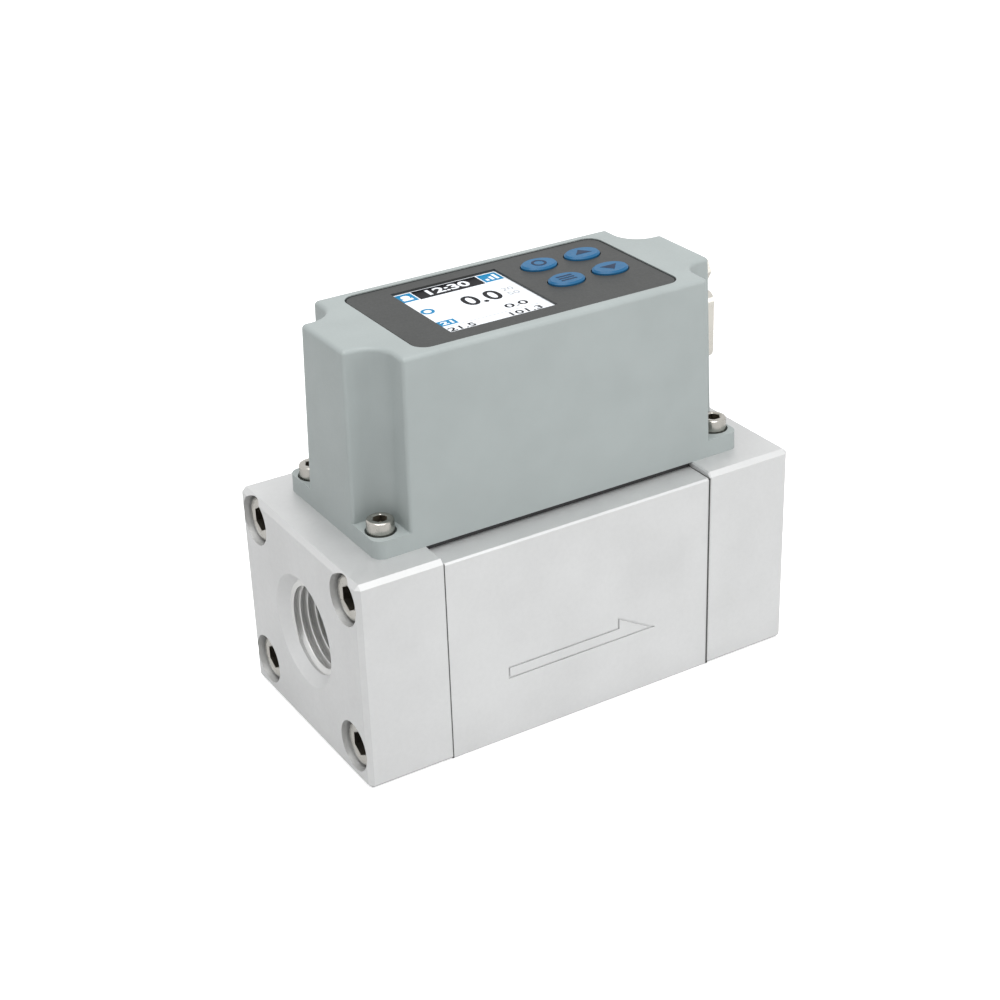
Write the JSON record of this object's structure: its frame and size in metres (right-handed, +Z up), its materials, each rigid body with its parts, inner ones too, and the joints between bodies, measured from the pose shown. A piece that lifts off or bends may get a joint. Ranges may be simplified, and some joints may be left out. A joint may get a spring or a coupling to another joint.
{
  "type": "thermal mass flow meter",
  "caption": "In-line thermal gas flow meter: aluminium base with threaded ports, grey electronics housing with a colour display, oval keys and a signal connector.",
  "frame": {"origin": "centre of the base's underside", "axes": "+X along the gas flow, from inlet to outlet; -Y the front with the flow arrow; +Z up"},
  "size_m": [0.108, 0.054, 0.0905],
  "materials": {
    "block_aluminium": "satin, fine blasted",
    "body_aluminium": "satin, fine blasted",
    "screw_steel": "bright",
    "seal_rubber": "dull black",
    "screen_steel": "woven mesh",
    "straightener_aluminium": "plain",
    "plug_plastic": "matt black",
    "sensor_ceramic": "plain",
    "chip_black": "moulded",
    "socket_plastic": "matt black",
    "housing_plastic": "fine satin, light grey",
    "overlay_plastic": "fine satin, dark grey",
    "glass_display": "clear",
    "backlight_white": "white",
    "board_green": "solder mask",
    "contact_metal": "plated",
    "shell_steel": "plated",
    "insert_plastic": "plain",
    "key_blue": "satin",
    "switch_plastic": "plain",
    "plunger_plastic": "plain"
  },
  "bodies": {
    "meter": {"inlet_block": "block_aluminium", "flow_body": "body_aluminium", "outlet_block": "block_aluminium", "inlet_o_ring": "seal_rubber", "outlet_o_ring": "seal_rubber", "inlet_block_screws": "screw_steel", "outlet_block_screws": "screw_steel", "inlet_screen": "screen_steel", "flow_straightener": "straightener_aluminium", "outlet_screen": "screen_steel", "sensor_plug": "plug_plastic", "sensor_plug_o_ring": "seal_rubber", "sensor_plug_screws": "screw_steel", "sensor_blade": "sensor_ceramic", "sensor_chip": "chip_black", "sensor_link": "socket_plastic", "housing": "housing_plastic", "housing_gasket": "seal_rubber", "housing_screws": "screw_steel", "housing_lock_washers": "screw_steel", "overlay_panel": "overlay_plastic", "display_glass": "glass_display", "display_backlight": "backlight_white", "display_board": "board_green", "display_board_screws": "screw_steel", "main_board": "board_green", "processor_chip": "chip_black", "board_link": "socket_plastic", "board_link_pins": "contact_metal", "connector_shell": "shell_steel", "connector_insert": "insert_plastic", "connector_contacts": "contact_metal", "connector_jack_posts": "shell_steel", "connector_nuts": "shell_steel", "cancel_switch": "switch_plastic", "up_switch": "switch_plastic", "mode_switch": "switch_plastic", "down_switch": "switch_plastic"},
    "cancel_key_cap": {"cancel_key": "key_blue", "cancel_plunger": "plunger_plastic"},
    "up_key_cap": {"up_key": "key_blue", "up_plunger": "plunger_plastic"},
    "mode_key_cap": {"mode_key": "key_blue", "mode_plunger": "plunger_plastic"},
    "down_key_cap": {"down_key": "key_blue", "down_plunger": "plunger_plastic"}
  },
  "joints": [
    {"name": "cancel_key_press", "type": "slide", "parent": "meter", "child": "cancel_key_cap", "axis": [0, 0, -1], "range_m": [0, 0.0003], "stiffness_N_per_m": 4000, "springref_m": -0.0001},
    {"name": "up_key_press", "type": "slide", "parent": "meter", "child": "up_key_cap", "axis": [0, 0, -1], "range_m": [0, 0.0003], "stiffness_N_per_m": 4000, "springref_m": -0.0001},
    {"name": "mode_key_press", "type": "slide", "parent": "meter", "child": "mode_key_cap", "axis": [0, 0, -1], "range_m": [0, 0.0003], "stiffness_N_per_m": 4000, "springref_m": -0.0001},
    {"name": "down_key_press", "type": "slide", "parent": "meter", "child": "down_key_cap", "axis": [0, 0, -1], "range_m": [0, 0.0003], "stiffness_N_per_m": 4000, "springref_m": -0.0001}
  ]
}
